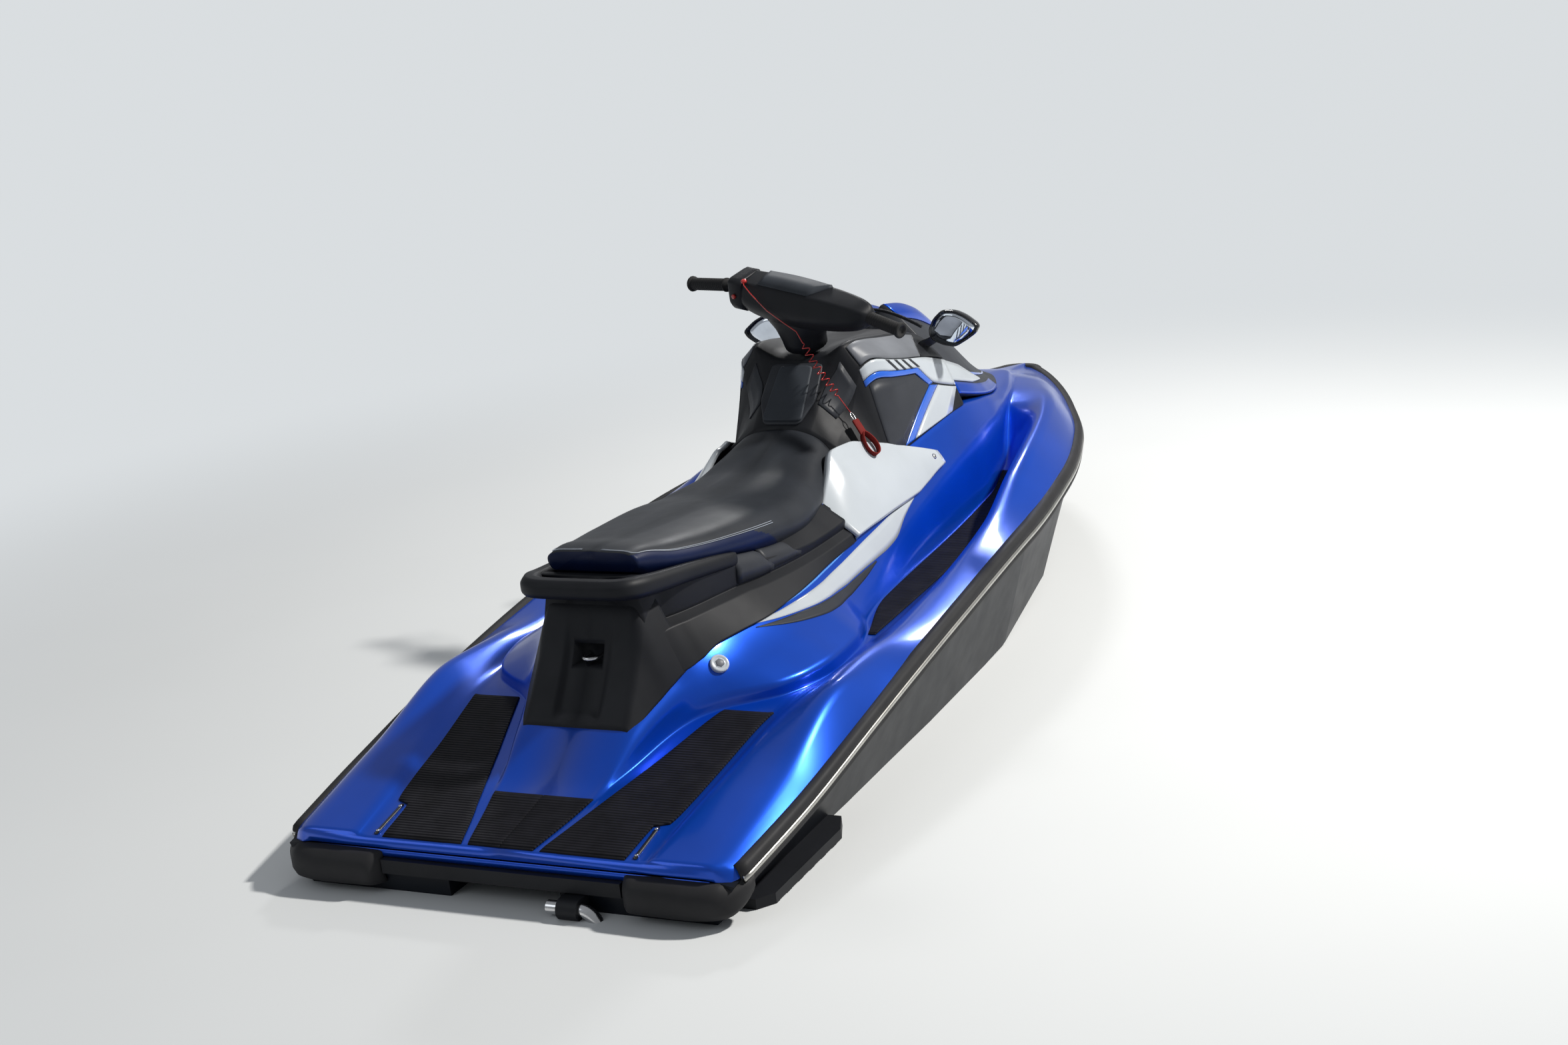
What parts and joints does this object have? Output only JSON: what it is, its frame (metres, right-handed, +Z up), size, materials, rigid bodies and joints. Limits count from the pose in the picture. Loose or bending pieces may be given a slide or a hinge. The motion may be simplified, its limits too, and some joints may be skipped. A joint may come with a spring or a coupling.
{
  "type": "personal watercraft",
  "caption": "Three-seat sit-down personal watercraft, afloat, with handlebar steering, jet pump, opening hood and glove box and a swing-down boarding step.",
  "frame": {"origin": "on the centre line at mid-length, at the waterline", "axes": "+X to the bow, +Y to port, +Z up"},
  "size_m": [3.109, 1.144, 1.1769],
  "materials": {
    "blue_gelcoat": "metallic gloss",
    "black_hull": "gloss",
    "black_plastic": "fine grain",
    "grey_plastic": "fine grain",
    "white_panel": "gloss",
    "rubber": "matt",
    "mat": "ribbed",
    "seat_vinyl": "grained",
    "mirror_glass": "polished",
    "stainless": "polished",
    "pump_alloy": "cast",
    "engine": "cast",
    "grip": "ribbed"
  },
  "bodies": {
    "craft": {"hull": "black_hull", "deck": "blue_gelcoat", "engine_block": "engine", "rub_rail": "rubber", "stern_bumpers": "rubber", "transom_strip": "black_plastic", "platform_mats": "mat", "footwell_mats": "mat", "console": "black_plastic", "cowl_panels": "grey_plastic", "knee_panels": "white_panel", "seat_base": "black_plastic", "seat": "seat_vinyl", "grab_handle": "black_plastic", "rear_cover": "black_plastic", "tow_eye": "stainless", "flush_cap": "white_panel", "mirrors": "black_plastic", "mirror_glasses": "mirror_glass", "pump_housing": "pump_alloy", "ride_plate": "pump_alloy", "intake_grate": "pump_alloy", "sponsons": "black_plastic", "step_bracket": "black_plastic", "bow_eye": "stainless"},
    "handlebar": {"steering_column": "black_plastic", "bar_cover": "black_plastic", "grips": "grip", "levers": "black_plastic"},
    "hood": {"hood_lid": "grey_plastic"},
    "glovebox": {"glovebox_lid": "grey_plastic"},
    "impeller": {"impeller": "stainless"},
    "nozzle": {"nozzle": "pump_alloy"},
    "bucket": {"reverse_bucket": "pump_alloy"},
    "step": {"boarding_step": "stainless"}
  },
  "joints": [
    {"name": "steering_turn", "type": "hinge", "parent": "craft", "child": "handlebar", "pos_m": [0.092, 0, 0.72], "axis": [-0.342, 0, 0.9397], "range_deg": [-3, 43]},
    {"name": "nozzle_turn", "type": "hinge", "parent": "craft", "child": "nozzle", "pos_m": [-1.278, 0, -0.134], "axis": [0, 0, 1], "range_deg": [-37, 3]},
    {"name": "bucket_swing", "type": "hinge", "parent": "craft", "child": "bucket", "pos_m": [-1.216, 0, -0.134], "axis": [0, 1, 0], "range_deg": [-50, 0]},
    {"name": "impeller_spin", "type": "hinge", "parent": "craft", "child": "impeller", "pos_m": [-1.045, 0, -0.134], "axis": [1, 0, 0], "continuous": true},
    {"name": "hood_hinge", "type": "hinge", "parent": "craft", "child": "hood", "pos_m": [1.092, 0, 0.412], "axis": [0, 1, 0], "range_deg": [0, 60]},
    {"name": "glovebox_hinge", "type": "hinge", "parent": "craft", "child": "glovebox", "pos_m": [-0.0931, 0, 0.5651], "axis": [0, 1, 0], "range_deg": [-75, 0]},
    {"name": "step_swing", "type": "hinge", "parent": "craft", "child": "step", "pos_m": [-1.532, -0.15, -0.022], "axis": [0, 1, 0], "range_deg": [0, 90]}
  ],
  "couplings": [
    {"joint": "nozzle_turn", "follows": "steering_turn", "ratio": -0.85}
  ]
}
